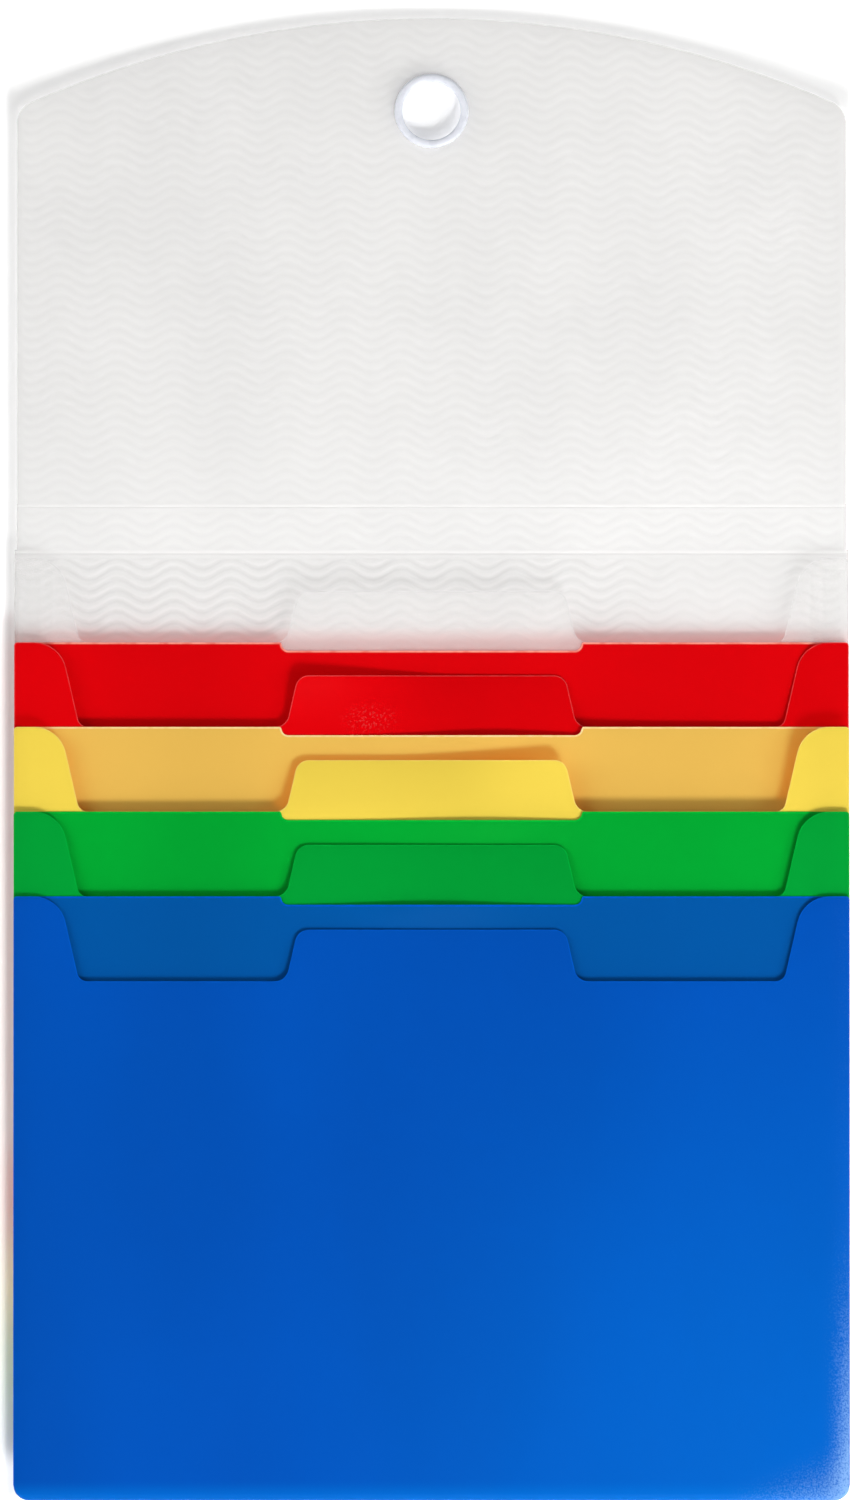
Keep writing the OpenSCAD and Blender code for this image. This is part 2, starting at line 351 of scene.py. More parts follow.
def denser(path, spacing, side_w=12 * MM, side_spacing=0.8 * MM, least=0.15 * MM):
    """The path with points added along its length, closer together near its two ends, and without those
    that follow another too closely."""
    run = np.concatenate(([0], np.cumsum(np.linalg.norm(np.diff(path, axis=0), axis=1))))
    whole = run[-1]
    side = np.arange(0, side_w, side_spacing)
    even = np.linspace(0, whole, round(whole / spacing))
    places = np.sort(np.concatenate((run, even, side, whole - side)))
    places = places[np.concatenate(([True], np.diff(places) > least))]
    return np.stack([np.interp(places, run, path[:, axis]) for axis in (0, 1)], 1)


def inset(path, width):
    """The path moved inwards by width, square to its own run from left to right."""
    run = np.gradient(path, axis=0)
    run /= np.linalg.norm(run, axis=1, keepdims=True)
    return path - width * np.stack((-run[:, 1], run[:, 0]), 1)


def columns(edge, foot, rim_w):
    """x, top and foot of a sheet's columns: its inset top edge with the sheet's two sides added."""
    inner = inset(edge, rim_w)
    x = np.concatenate((edge[:1, 0], inner[:, 0], edge[-1:, 0]))
    return x, np.pad(inner[:, 1], 1, "edge"), foot(x)


def outlined(edge, x, z):
    """The columns' rows with the top edge put above them, and a value that is 1 on the outline, else 0."""
    ends = np.pad(edge, ((1, 1), (0, 0)), "edge")
    x = np.concatenate((ends[None, :, 0], np.tile(x, (len(z), 1))))
    z = np.concatenate((ends[None, :, 1], z))
    rim = np.zeros_like(x)
    rim[0] = rim[:, 0] = rim[:, -1] = 1
    return x, z, rim


def sheet_grid(edge, foot, shares, rim_w):
    """x, z and rim value of a sheet that hangs from its top edge: below the edge and its inset each column
    goes straight down to foot(x), divided by shares."""
    x, top, low = columns(edge, foot, rim_w)
    return outlined(edge, x, top + np.outer(shares, low - top))


def swing(x, sizes):
    """How far an embossed wave stands above its middle line at x: a sine."""
    return sizes.wave_h * np.sin(2 * math.pi * (x - sizes.wave_x) / sizes.wave_l)


def waved_grid(edge, foot, fine, rim_w, sizes):
    """x, z and rim value of an embossed sheet whose rows follow the waves.
    Below the edge and its inset come level rows through the fine height, and then rows that swing as the
    waves do, clipped between the level rows and foot(x)."""
    x, top, low = columns(edge, foot, rim_w)
    level = np.linspace(0, fine, 1 + round(fine / LEVEL_ROW))[1:]
    spacing = sizes.pitch / WAVE_ROWS
    first = math.ceil((top.max() + sizes.wave_h) / spacing)
    last = math.floor((low.min() - sizes.wave_h) / spacing)
    waved = spacing * np.arange(first, last - 1, -1)[:, None] + swing(x, sizes)
    z = np.concatenate(([top], top - level[:, None], np.clip(waved, low, top - fine), [low]))
    return outlined(edge, x, z)


def grid_faces(down, across):
    """Quads of a grid whose rows go down and columns go right, so that they face the viewer."""
    index = np.arange(down * across).reshape(down, across)
    corners = (index[:-1, :-1], index[1:, :-1], index[1:, 1:], index[:-1, 1:])
    return np.stack([corner.ravel() for corner in corners], 1)


def weld(points, faces):
    """Merges points that fall together. A quad that loses a corner becomes a triangle, and one that loses
    two is dropped. Gives the points' places among the old ones, and the faces."""
    keys = np.round(points / MERGE).astype(np.int64)
    _, first, place = np.unique(keys, axis=0, return_index=True, return_inverse=True)
    faces = place.reshape(-1)[faces]
    same = faces == np.roll(faces, -1, axis=1)
    lost = same.sum(1)
    crossed = (faces[:, 0] == faces[:, 2]) | (faces[:, 1] == faces[:, 3])
    quads = faces[(lost == 0) & ~crossed]
    lone = (lost == 1) & ~crossed
    triangles = faces[lone][~same[lone]].reshape(-1, 3)
    return first, quads.tolist() + triangles.tolist()


def add_piece(name, points, faces, material, marks=None, wall=0.0):
    """A smooth mesh at the origin, with named values at its points. A wall is grown away from the side that
    its faces point to."""
    keep, polygons = weld(points, faces)
    mesh = bpy.data.meshes.new(name)
    mesh.from_pydata(points[keep].tolist(), [], polygons)
    mesh.polygons.foreach_set("use_smooth", np.ones(len(polygons), bool))
    for mark, values in (marks or {}).items():
        values = values[keep].astype(np.float32)
        mesh.attributes.new(mark, "FLOAT", "POINT").data.foreach_set("value", values)
    mesh.materials.append(material)
    mesh.update()
    edges = np.zeros(len(mesh.loops), np.int32)
    mesh.loops.foreach_get("edge_index", edges)
    border = np.bincount(edges, minlength=len(mesh.edges)) == 1
    mesh.attributes.new("sharp_edge", "BOOLEAN", "EDGE").data.foreach_set("value", border)
    piece = bpy.data.objects.new(name, mesh)
    bpy.context.scene.collection.objects.link(piece)
    if wall:
        solid = piece.modifiers.new("Wall", "SOLIDIFY")
        solid.thickness = wall
        solid.offset = -1
    return piece


def grid_points(x, y, z):
    return np.stack((x, y, z), -1).reshape(-1, 3)


def add_sheet(name, x, y, z, rim, material, wall, groove=None):
    marks = {RIM: rim.ravel()}
    if groove is not None:
        marks[GROOVE] = groove.ravel()
    return add_piece(name, grid_points(x, y, z), grid_faces(*x.shape), material, marks, wall)


def with_hole(points, faces, radius):
    """Faces that reach outside a round hole about the eyelet's axis, with their points inside it moved out
    to its edge. Gives the points, the faces and which of the old points are kept."""
    off_axis = np.hypot(points[:, 0], points[:, 2])
    faces = faces[off_axis[faces].max(1) > radius]
    used = np.zeros(len(points), bool)
    used[faces] = True
    push = np.where(used & (off_axis < radius), radius / np.maximum(off_axis, MM), 1)
    points[:, 0] *= push
    points[:, 2] *= push
    places = np.cumsum(used) - 1
    return points[used], places[faces], used


def stands_for(piece, slot, *nodes):
    """Hides the nodes' solids, in whose place the piece stands. The piece and the slot are not used."""
    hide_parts(*nodes)


def corner_rise(x, half, radius):
    """How far a sheet's lower edge rises above its lowest line in a rounded lower corner."""
    into = np.clip(np.abs(x) - (half - radius), 0, radius)
    return radius - np.sqrt(radius ** 2 - into ** 2)


def lean(number, x, z):
    """How far a pair of joined sheets leans to the wall: none at its fold, growing with the square of the
    height, and evenly from left to right."""
    if number < 0:
        return np.zeros_like(z)
    pocket = POCKETS[number]
    most, skew = LEANS[number]
    up = np.clip((z - pocket.hinge) / (pocket.top - pocket.hinge), 0, 1)
    return most * MM * (1 + skew * x / pocket.half) * up ** 2


def tab_bend(pocket, x, z, sizes, curl=1.4):
    """How far the label tab stands back at a point: its two corners' values, mixed across its width and
    growing with a power of its height above the recess floor. Beside the tab it fades to nothing."""
    left, right, start, stop = TAB_BENDS[pocket.number]
    across = step(x / sizes.label_foot / 2 + 0.5, start, stop)
    up = np.clip((z - pocket.top + sizes.recess_h) / sizes.label_h, 0, 1)
    end, fade = 1.15 * sizes.label_foot, 0.1 * sizes.label_foot
    near = step(end - np.abs(x), 0, fade)
    return (left + (right - left) * across) * MM * up ** curl * near


def side_bend(pocket, x, z, sizes, band=11 * MM):
    """How far a right side tab stands back: none at its outer band, growing to its inner edge and to its
    top. Beside the tab it fades to nothing."""
    inwards = pocket.half - x
    end, fade = 1.6 * sizes.side_foot, 0.4 * sizes.side_foot
    near = step(inwards, band, sizes.side_foot) * step(end - inwards, 0, fade)
    up = np.clip((z - pocket.top + sizes.recess_h) / sizes.recess_h, 0, 1)
    return SIDE_BENDS[pocket.number] * MM * near * up


def side_roll(pocket, x, z, sizes):
    """How far a front sheet rolls back at its sides, with the square of the way into the side band.
    The foremost sheet's lower right side rolls back the most."""
    into = np.clip((np.abs(x) - pocket.half + sizes.roll_w) / sizes.roll_w, 0, 1)
    more = 0.0
    if pocket.number == len(HUES) - 1:
        down = step(pocket.top - z, MORE_ROLL_FROM, MORE_ROLL_TO)
        more = MORE_ROLL * step(x, 0, pocket.half) * down
    return sizes.roll_d * (1 + more) * into ** 2


def front_sheet(pocket, sizes):
    """A front sheet that rolls under at its foot and up to its back sheet: upright columns that end in half
    circles, whose radius shrinks in the rounded lower corners."""
    edge = denser(front_edge(pocket, sizes), 4 * MM)
    radius = (pocket.rear - pocket.front) / 2
    least = 0.1 * radius

    def fold_r(x):
        into = np.clip((np.abs(x) - pocket.half + sizes.corner_r) / sizes.corner_r, 0, 1)
        return np.maximum(radius * np.sqrt(1 - into ** 2), least)

    def foot(x):
        return pocket.low + corner_rise(x, pocket.half, sizes.corner_r) + fold_r(x)

    # Rows lie closer together towards the rolled foot
    bands = ((0, 0.9, 56), (0.9, 0.98, 12), (0.98, 1, 14))
    shares = np.unique(np.concatenate([np.linspace(*band) for band in bands]))
    x, z, rim = sheet_grid(edge, foot, shares, sizes.rim_w)
    y = (pocket.front + lean(pocket.number, x, z) + tab_bend(pocket, x, z, sizes)
         + side_bend(pocket, x, z, sizes) + side_roll(pocket, x, z, sizes) + sizes.rim_set * rim)
    turn = np.linspace(0, math.pi, 17)[1:, None]
    bend = fold_r(x[-1])
    x = np.concatenate((x, np.tile(x[-1], (len(turn), 1))))
    y = np.concatenate((y, y[-1] + bend * (1 - np.cos(turn))))
    z = np.concatenate((z, z[-1] - bend * np.sin(turn)))
    rim = np.concatenate((rim, np.tile(rim[-1], (len(turn), 1))))
    return x, y, z, rim


def notch_bow(pocket, x, z, bell_w=38 * MM, fade=18 * MM):
    """How far a back sheet's upper edge bows forward: a bell along x that fades down from the edge."""
    place, depth = (value * MM for value in NOTCH_BOWS[pocket.number])
    across = np.exp(-((x - place) / bell_w) ** 2)
    return depth * across * step(z, pocket.top - fade, pocket.top)


def back_sheet(pocket, sizes):
    """A back sheet, which lies on the front sheet behind it and shares that sheet's lean."""
    edge = denser(back_edge(pocket, sizes), 4 * MM)
    fold = pocket.low + (pocket.rear - pocket.front) / 2

    def foot(x):
        return np.maximum(fold, pocket.low + corner_rise(x, pocket.half, sizes.corner_r))

    # Rows lie closer together towards the notched edge
    shares = np.linspace(0, 1, 60) ** 1.3
    x, z, rim = sheet_grid(edge, foot, shares, 2 * sizes.rim_w)
    y = (pocket.rear - sizes.sheet + lean(pocket.number - 1, x, z) - notch_bow(pocket, x, z)
         + sizes.rim_set * rim)
    return x, y, z, rim


def waves(x, z, sizes):
    """The emboss: a cosine down the sheet whose rows swing up and down as a sine along x."""
    return np.cos(2 * math.pi * (z - swing(x, sizes)) / sizes.pitch)


def score(z, level, sizes):
    """A score's section: a narrow groove with a low soft ridge above it."""
    ridge_up, ridge_w, ridge_part = 4 * sizes.score_w, 2.5 * sizes.score_w, 0.35
    groove = np.exp(-((z - level) / sizes.score_w) ** 2)
    ridge = np.exp(-((z - level - ridge_up) / ridge_w) ** 2)
    return sizes.score_d * (groove - ridge_part * ridge)


def embossed(x, z, rim, top, scores, sizes, strength, rim_set=0.1 * MM):
    """y of the cover's front and how deep each point lies in a wave's groove, from 0 to 1: flat, less the
    waves, which fade out at the border and at the scores, and with the scores' grooves. The outline is set
    back a little."""
    half = np.abs(x).max()
    inside = np.minimum(half - np.abs(x), top - z)
    fade = step(inside, sizes.border, 2 * sizes.border)
    y = np.full_like(x, -sizes.sheet)
    for level in scores:
        fade = fade * step(np.abs(z - level), 3 * sizes.score_w, 8 * sizes.score_w)
        y += score(z, level, sizes)
    wave = fade * waves(x, z, sizes)
    return y - strength * sizes.relief * wave + rim_set * rim, strength * np.clip(-wave, 0, 1)


def back_emboss(x):
    """How strongly the back is embossed: the most at the left, and less in a broad band at the right."""
    most, less = 1.2, 0.85
    band = step(x, 40 * MM, 120 * MM) - step(x, 148 * MM, 165 * MM)
    return most - less * band


def rounded(corners, radius, count=5):
    """A path through straight legs whose corners are rounded by parabolas that touch both legs."""
    corners = np.array(corners)
    run = np.diff(corners, axis=0)
    run /= np.linalg.norm(run, axis=1, keepdims=True)
    t = np.linspace(0, 1, count)[None, :, None]
    first = (corners[1:-1] - radius * run[:-1])[:, None]
    last = (corners[1:-1] + radius * run[1:])[:, None]
    bends = (1 - t) ** 2 * first + 2 * t * (1 - t) * corners[1:-1, None] + t ** 2 * last
    return np.concatenate((corners[:1], bends.reshape(-1, 2), corners[-1:]))


def pleat(pocket, side, sizes, flange_w=10 * MM, play=0.1 * MM, bend_r=0.8 * MM):
    """One side's pleated film: a folded path in x and y, carried up and leaning with the two sheets that
    it joins. Its glued flanges keep a little play to them."""
    low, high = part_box(f"{pocket.hue}_gusset_{'right' if side > 0 else 'left'}")
    fold = max(abs(low.x), abs(high.x)) - sizes.film
    apex = min(abs(low.x), abs(high.x)) + sizes.film
    flange = fold - flange_w
    rear = high.y - play
    front = low.y + sizes.film + play
    middle = (rear + front) / 2
    path = rounded([(flange, rear), (fold, rear), (apex, middle), (fold, front), (flange, front)], bend_r)
    level = np.linspace(high.z, low.z, 40)[:, None]
    x = np.tile(side * path[:, 0], (len(level), 1))
    z = np.tile(level, (1, len(path)))
    part = (rear - path[:, 1]) / (rear - front)
    ahead = lean(pocket.number, x, z) + side_roll(pocket, x, z, sizes)
    y = path[:, 1] + lean(pocket.number - 1, x, z) * (1 - part) + ahead * part
    return x, y, z


def turned(profile, count=128):
    """Points and quads of a closed profile of radius and height, turned about the eyelet's axis."""
    turn = np.linspace(0, 2 * math.pi, count, endpoint=False)[:, None]
    radius, height = profile[:, 0], profile[:, 1]
    points = np.stack((radius * np.cos(turn), np.tile(-height, (count, 1)), radius * np.sin(turn)), -1)
    index = np.arange(count * len(profile)).reshape(count, -1)
    ahead, beside = np.roll(index, -1, 0), np.roll(index, -1, 1)
    faces = np.stack((index, beside, np.roll(ahead, -1, 1), ahead), -1)
    return points.reshape(-1, 3), faces.reshape(-1, 4)


class Value:
    """A shader value. A sum, difference or product of it adds a Math node."""

    def __init__(self, finish, socket):
        self.finish, self.socket = finish, socket

    def maths(self, operation, first, second):
        return self.finish.node("ShaderNodeMath", {"operation": operation}, {0: first, 1: second})

    def __add__(self, other):
        return self.maths("ADD", self, other)

    def __sub__(self, other):
        return self.maths("SUBTRACT", self, other)

    def __rsub__(self, other):
        return self.maths("SUBTRACT", other, self)

    def __mul__(self, other):
        return self.maths("MULTIPLY", self, other)

    __radd__ = __add__
    __rmul__ = __mul__


class Finish:
    """A material, or the world, whose nodes are added one call at a time."""

    def __init__(self, owner):
        owner.use_nodes = True
        self.owner, self.tree = owner, owner.node_tree
        self.tree.nodes.clear()

    def node(self, kind, settings=None, sockets=None, out=0):
        """Adds a node, sets it, fills its sockets with values or links, and gives one output."""
        made = self.tree.nodes.new(kind)
        for key, value in (settings or {}).items():
            setattr(made, key, value)
        for key, value in (sockets or {}).items():
            if isinstance(value, Value):
                self.tree.links.new(value.socket, made.inputs[key])
            else:
                made.inputs[key].default_value = value
        return Value(self, made.outputs[out]) if made.outputs else None

    def here(self):
        """The point in the folder's frame."""
        return self.node("ShaderNodeTexCoord", out="Object")

    def along(self, axis):
        """x, y or z of the point."""
        return self.node("ShaderNodeSeparateXYZ", sockets={"Vector": self.here()}, out=axis)

    def stretched(self, stretch):
        """The point, stretched along the axes."""
        sockets = {"Vector": self.here(), "Scale": stretch}
        return self.node("ShaderNodeMapping", {"vector_type": "POINT"}, sockets)

    def vector(self, operation, first, second=(0, 0, 0), out=0):
        return self.node("ShaderNodeVectorMath", {"operation": operation}, {0: first, 1: second}, out)

    def ray(self, kind):
        """1 where a ray of the kind meets the surface, else 0."""
        return self.node("ShaderNodeLightPath", out=f"Is {kind} Ray")

    def noise(self, kind, detail=2.0, stretch=(1, 1, 1)):
        sockets = {"Vector": self.stretched(stretch), "Scale": SCALES[kind], "Detail": detail}
        return self.node("ShaderNodeTexNoise", sockets=sockets, out="Fac")

    def ramp(self, value, low, high):
        """Rises smoothly from 0 at low to 1 at high."""
        sockets = {"Value": value, "From Min": low, "From Max": high}
        return self.node("ShaderNodeMapRange", {"interpolation_type": "SMOOTHSTEP"}, sockets)

    def mark(self, name):
        """A value that the mesh holds at its points."""
        return self.node("ShaderNodeAttribute", {"attribute_name": name}, out="Fac")

    def mix(self, factor, first, second):
        """A colour between two others."""
        settings = {"data_type": "RGBA", "clamp_factor": True}
        return self.node("ShaderNodeMix", settings, {0: factor, 6: first, 7: second}, out=2)

    def shades(self, factor, base, dark, light):
        """A colour between a darker and a lighter shade of one."""
        return self.mix(factor, rgba(base, dark), rgba(base, light))

    def bump(self, value, distance, strength):
        sockets = {"Height": value, "Distance": distance, "Strength": strength}
        return self.node("ShaderNodeBump", sockets=sockets)

    def end(self, shader, kind="Material"):
        self.node(f"ShaderNodeOutput{kind}", sockets={"Surface": shader})
        return self.owner

    def surface(self, sockets, passed=None):
        """Ends the material in a Principled shader, which may let lamp light of a given colour pass."""
        shader = self.node("ShaderNodeBsdfPrincipled", sockets=sockets)
        if passed:
            film = self.node("ShaderNodeBsdfTransparent", sockets={"Color": rgba(passed)})
            shader = self.node("ShaderNodeMixShader", sockets={0: self.ray("Shadow"), 1: shader, 2: film})
        return self.end(shader)


def new_finish(name):
    return Finish(bpy.data.materials.new(name))


def rgba(colour_value, scale=1.0):
    return (*[min(channel * scale, 1.0) for channel in colour_value], 1.0)


def paler(colour_value, part):
    """A colour mixed with white in Python."""
    return tuple(channel + (1 - channel) * part for channel in colour_value)


def paint_corner_light(finish, tone, pocket, painted_lit_blue, painted_sheen):
    """Painted light on the foremost sheet's lower right: it is drawn lighter towards the corner, a painted
    pool of light, and along its foot, a painted highlight, and pale and grainy where it bends away, along
    the side and in a long wedge round the corner, a painted sheen."""
    painted_pool_part, painted_foot_highlight, side_part, least_part, wedge_part = 0.46, 0.6, 0.67, 0.05, 0.5
    corner = (pocket.half, pocket.front, pocket.low)
    away = finish.vector("DISTANCE", finish.here(), corner, "Value")
    tone = finish.mix(finish.ramp(away, 280 * MM, 20 * MM) * painted_pool_part, tone, rgba(painted_lit_blue))
    inwards = pocket.half - finish.along("X")
    up = finish.along("Z") - pocket.low
    tone = finish.mix(finish.ramp(up, 9 * MM, 2 * MM) * painted_foot_highlight, tone, rgba(painted_lit_blue))
    low = finish.ramp(up, 125 * MM, 15 * MM)
    side = finish.ramp(inwards, 13 * MM, -3 * MM) * (low * side_part + least_part)
    wedge = finish.ramp(inwards * 0.5 + up, 34 * MM, 2 * MM) * wedge_part
    pale = side + wedge - side * wedge
    grain = finish.ramp(finish.noise("peel") + pale * 0.5, 0.45, 0.95)
    return finish.mix(pale * grain, tone, rgba(painted_sheen))


def scuffed(finish, tone, base, place):
    """Faint pale specks that lie close together in a small spot, twice as wide as it is high."""
    flat, reach, strength, pale_part = (0.5, 1, 1), 8 * MM, 0.16, 0.3
    spot = tuple(np.multiply(place, flat).tolist())
    away = finish.vector("DISTANCE", finish.stretched(flat), spot, "Value")
    specks = finish.ramp(finish.noise("specks"), 0.52, 0.68) * finish.ramp(away, reach, 0.0)
    return finish.mix(specks * strength, tone, rgba(paler(base, pale_part)))


def coloured_sheet(name, base, edge, seen=None, seen_above=0.0, corner_light=None, scuff=None, passed=None):
    """Satin coloured sheet: broad soft unevenness of tone that is partly painted sheen, fine orange peel, a
    painted highlight on the cut edge that breaks up along its run, and above a level the colour that the
    sheet takes from the one behind it, which on the blue back sheet is also darkened as painted shade."""
    finish = new_finish(name)
    # Broad soft unevenness of tone, partly painted sheen: soft streaks for the sheet's waviness reflecting
    # the room
    drift = finish.ramp(finish.noise("drift", 1.0, (1.3, 1.0, 0.55)), 0.3, 0.7)
    tone = finish.shades(drift, base, 0.95, 1.05)
    if seen:
        soft = 2 * MM
        over = finish.ramp(finish.along("Z"), seen_above - soft, seen_above + soft)
        tone = finish.mix(over, tone, finish.shades(drift, seen, 0.97, 1.03))
    # Painted light and sheen at the foremost sheet's lower right corner
    if corner_light:
        tone = paint_corner_light(finish, tone, *corner_light)
    if scuff:
        tone = scuffed(finish, tone, base, scuff)
    # Painted highlight on the cut edge, broken up along its run
    cut = finish.ramp(finish.mark(RIM), 0.02, 0.3)
    whole = finish.ramp(finish.noise("breaks", 1.0), 0.3, 0.6) * 0.4 + 0.6
    tone = finish.mix(cut * whole, tone, rgba(edge))
    return finish.surface({
        "Base Color": tone,
        "Roughness": finish.noise("rub", 3.0, (1.0, 1.0, 0.15)) * 0.14 + 0.3,
        "Specular IOR Level": 0.04,
        "Normal": finish.bump(finish.noise("peel", 1.0), 0.02 * MM, 0.6),
    }, passed)


def frosted_sheet(name, base, painted_red_light, hidden, painted_red_light_part, passing, edge_shade=0.0):
    """Frosted clear sheet: some of what lies behind it is seen, and some of its own pale surface, which has
    painted shade in the emboss's grooves and is whiter along its fold. Its cut edge is drawn whiter, a
    painted highlight. Beside the red sheet it takes a painted pink light, for the red light that the red
    sheet throws on it. Lamp light passes more freely than sight does, but a cut edge may throw a shadow
    line."""
    painted_groove_shade, fold_part, cut_highlight_part, cut_hidden = 0.22, 0.15, 0.5, 0.16
    finish = new_finish(name)
    cloud = finish.ramp(finish.noise("cloud", 3.0), 0.25, 0.75)
    tone = finish.shades(cloud, base, 0.97, 1.02)
    # Painted shade: the clear sheet is drawn greyer in the emboss's grooves
    tone = finish.mix(finish.mark(GROOVE) * painted_groove_shade, tone, rgba(base, 0.6))
    level = finish.along("Z")
    fold, red_top = JOINTS["spine_score"]["pos_m"][2], POCKETS[1].top
    white = finish.ramp(level, fold + 70 * MM, fold + 4 * MM)
    white = white * finish.ramp(level, fold - 0.4 * MM, fold + 0.4 * MM)
    tone = finish.mix(white * fold_part, tone, rgba(WHITE))
    # Painted pink light beside the red sheet's top edge, for the red light that the red sheet throws here
    tone = finish.mix(finish.ramp(level, red_top + 8 * MM, red_top) * painted_red_light_part, tone, rgba(painted_red_light))
    cut = finish.ramp(finish.mark(RIM), 0.3, 0.7)
    line = finish.ramp(finish.mark(RIM), 0.0, 0.4)
    # Painted highlight: the clear sheet's cut edge is drawn whiter
    tone = finish.mix(cut * cut_highlight_part, tone, rgba(WHITE))
    shade = finish.ray("Shadow")
    return finish.surface({
        "Base Color": tone,
        "Roughness": cloud * 0.1 + 0.42,
        "Specular IOR Level": 0.2,
        "Alpha": (cut * cut_hidden + hidden) * (1 - shade * passing) + shade * line * edge_shade,
        "Normal": finish.bump(finish.noise("frost", 1.0), 0.006 * MM, 0.6),
    })


def moulded_white(name, base):
    """Moulded white plastic with a soft gloss and faint flow marks."""
    finish = new_finish(name)
    flow = finish.ramp(finish.noise("flow"), 0.3, 0.7)
    return finish.surface({
        "Base Color": finish.shades(flow, base, 0.96, 1.02),
        "Roughness": flow * 0.1 + 0.24,
        "Specular IOR Level": 0.4,
        "Normal": finish.bump(finish.noise("moulding", 1.0), 0.01 * MM, 0.4),
    })


def pleated_film(name, base, hidden):
    """Thin film of the pleats: a little paler than the sheets, with fine lines along its folds. The clear
    pocket's film hides little of what is behind it."""
    finish = new_finish(name)
    lines = finish.noise("lines", 2.0, (6.0, 6.0, 0.08))
    return finish.surface({
        "Base Color": finish.mix(finish.ramp(lines, 0.3, 0.7), rgba(base, 0.9), rgba(paler(base, 0.06))),
        "Roughness": lines * 0.2 + 0.3,
        "Specular IOR Level": 0.15,
        "Alpha": hidden,
        "Normal": finish.bump(lines, 0.03 * MM, 0.5),
    })


def looked_at(finish):
    """1 where the camera sees a surface, also in gloss and through clear sheets, else 0."""
    return finish.ray("Camera") + finish.ray("Glossy") + finish.ray("Transmission")


def stage_paint(finish, base, grain, lift):
    """Matt paint with a faint grain, lifted towards white where it is looked at."""
    tone = finish.shades(grain, base, 0.99, 1.0)
    paint = finish.node("ShaderNodeBsdfDiffuse", sockets={"Color": tone})
    white = finish.node("ShaderNodeEmission", sockets={"Strength": looked_at(finish) * lift})
    return finish.node("ShaderNodeAddShader", sockets={0: paint, 1: white})


def outside_arch(finish, radius, top):
    """Distance outside a circle that arches over the folder up to a level, less than 0 inside it."""
    return finish.vector("DISTANCE", finish.here(), (0, 0, top - radius), "Value") - radius


def outside_box(finish, centre, half):
    """Distance outside a box, 0 inside it: the length of what each of its sides is passed by."""
    past = finish.vector("ABSOLUTE", finish.vector("SUBTRACT", finish.here(), centre))
    past = finish.vector("MAXIMUM", finish.vector("SUBTRACT", past, half))
    return finish.vector("LENGTH", past, out="Value")


def painted_wall(name, base, lift, arch_r):
    """A wall that keeps the folder's soft shadow, beside its box and above its arch, and is lifted to white
    away from there. Behind the folder it is lifted by a share. It is only there from the front, so that the
    folder's back can be seen too."""
    beside_part, above_part, shadow_r, shadow_up = 0.65, 0.25, 1.15 * arch_r, 3.5 * MM
    finish = new_finish(name)
    low, high = CAD_BOX
    half = (high - low) / 2
    half.y = 1
    beside = outside_box(finish, (low + high) / 2 + Vector((-1.5 * MM, 0, 3 * MM)), half)
    above = outside_arch(finish, shadow_r, high.z + shadow_up)
    clear = finish.ramp(beside, 0.5 * MM, 6 * MM) * beside_part
    clear = clear + finish.ramp(above, -2 * MM, 4.5 * MM) * above_part
    inside = finish.ramp(outside_arch(finish, arch_r, high.z), 0.5 * MM, -0.5 * MM)
    clear = clear + finish.ramp(finish.along("X"), low.x + 1 * MM, low.x + 3 * MM) * inside * lift
    paint = stage_paint(finish, base, finish.noise("plaster"), clear)
    behind = finish.node("ShaderNodeNewGeometry", out="Backfacing")
    nothing = finish.node("ShaderNodeBsdfTransparent")
    return finish.end(finish.node("ShaderNodeMixShader", sockets={0: behind, 1: paint, 2: nothing}))


def plain_floor(name, base, lift):
    """A pale floor with a faint mottle."""
    finish = new_finish(name)
    return finish.end(stage_paint(finish, base, finish.noise("mottle", 4.0), lift))


